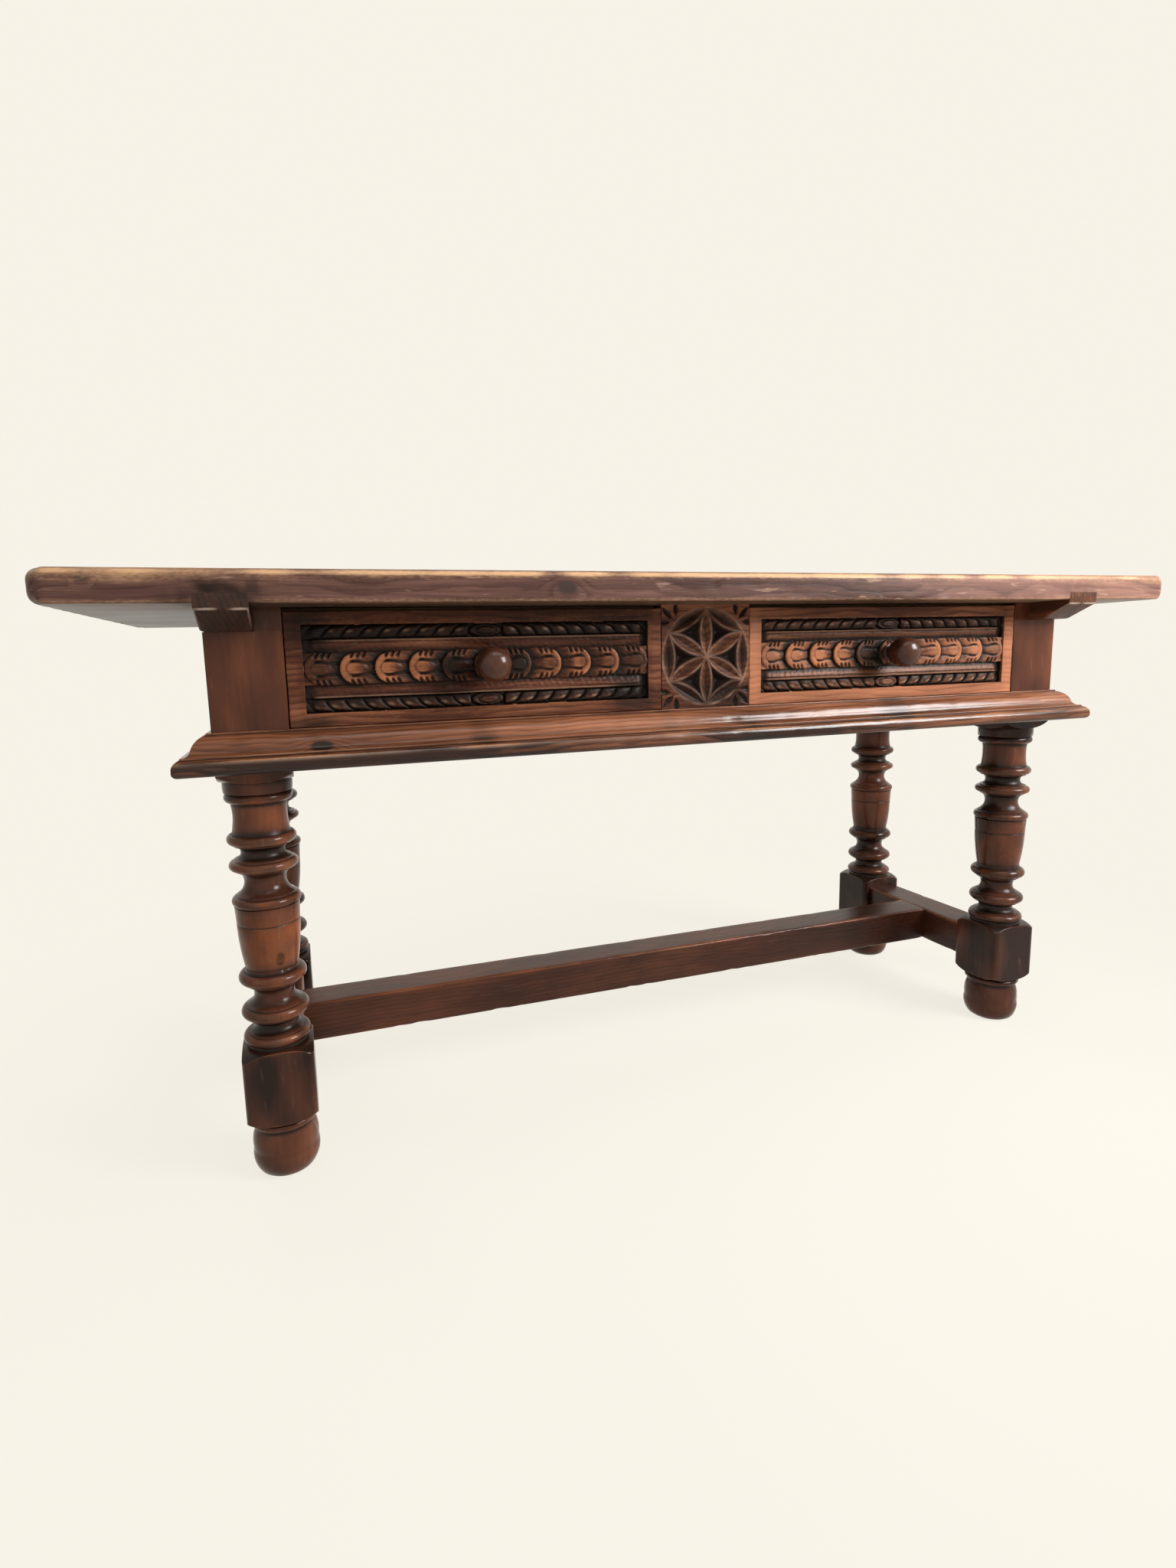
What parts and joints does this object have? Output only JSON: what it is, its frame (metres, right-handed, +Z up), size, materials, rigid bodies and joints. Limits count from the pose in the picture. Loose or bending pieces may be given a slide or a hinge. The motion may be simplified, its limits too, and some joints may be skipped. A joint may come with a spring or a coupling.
{
  "type": "refectory table",
  "caption": "Long table with a thick plank top on turned legs, a low H-stretcher, a mitred base moulding, carved drawers with ball knobs and a rosette panel between them",
  "frame": {"origin": "centre of the footprint on the floor, under the middle of the top", "axes": "+X along the length to the right as seen from the drawer side, +Y to the rear, so the drawers face -Y, +Z up"},
  "size_m": [1.636, 0.556, 0.78],
  "materials": {
    "top_wood": "stained softwood, worn pale along the upper arris",
    "frame_wood": "dark reddish-brown stain, thin wax",
    "leg_wood": "dark reddish-brown stain, polished on the rings",
    "moulding_wood": "reddish-brown stain, thin wax",
    "carved_wood": "reddish-brown stain, dark in the carving, pale on the ridges",
    "knob_wood": "very dark stain, glossy from handling",
    "inner_wood": "plain unfinished softwood"
  },
  "bodies": {
    "table_frame": {"back_apron": "frame_wood", "base_moulding_front": "moulding_wood", "base_moulding_left": "moulding_wood", "base_moulding_rear": "moulding_wood", "base_moulding_right": "moulding_wood", "centre_stretcher": "frame_wood", "drawer_stops": "inner_wood", "front_rail": "frame_wood", "front_tie_rail": "inner_wood", "guide_centre_left": "inner_wood", "guide_centre_right": "inner_wood", "guide_left": "inner_wood", "guide_right": "inner_wood", "kicker_centre": "inner_wood", "kicker_left": "inner_wood", "kicker_right": "inner_wood", "leg_front_left": "leg_wood", "leg_front_right": "leg_wood", "leg_rear_left": "leg_wood", "leg_rear_right": "leg_wood", "rosette_panel": "carved_wood", "runner_centre": "inner_wood", "runner_left": "inner_wood", "runner_right": "inner_wood", "side_apron_left": "frame_wood", "side_apron_right": "frame_wood", "side_stretcher_left": "frame_wood", "side_stretcher_right": "frame_wood", "top_batten_left": "top_wood", "top_batten_right": "top_wood", "top_plank_front": "top_wood", "top_plank_middle": "top_wood", "top_plank_rear": "top_wood"},
    "left_drawer": {"left_drawer_back": "inner_wood", "left_drawer_bottom": "inner_wood", "left_drawer_front": "carved_wood", "left_drawer_knob": "knob_wood", "left_drawer_side_left": "inner_wood", "left_drawer_side_right": "inner_wood"},
    "right_drawer": {"right_drawer_back": "inner_wood", "right_drawer_bottom": "inner_wood", "right_drawer_front": "carved_wood", "right_drawer_knob": "knob_wood", "right_drawer_side_left": "inner_wood", "right_drawer_side_right": "inner_wood"}
  },
  "joints": [
    {"name": "left_drawer_slide", "type": "slide", "parent": "table_frame", "child": "left_drawer", "axis": [0, -1, 0], "range_m": [0, 0.26]},
    {"name": "right_drawer_slide", "type": "slide", "parent": "table_frame", "child": "right_drawer", "axis": [0, -1, 0], "range_m": [0, 0.26]}
  ]
}
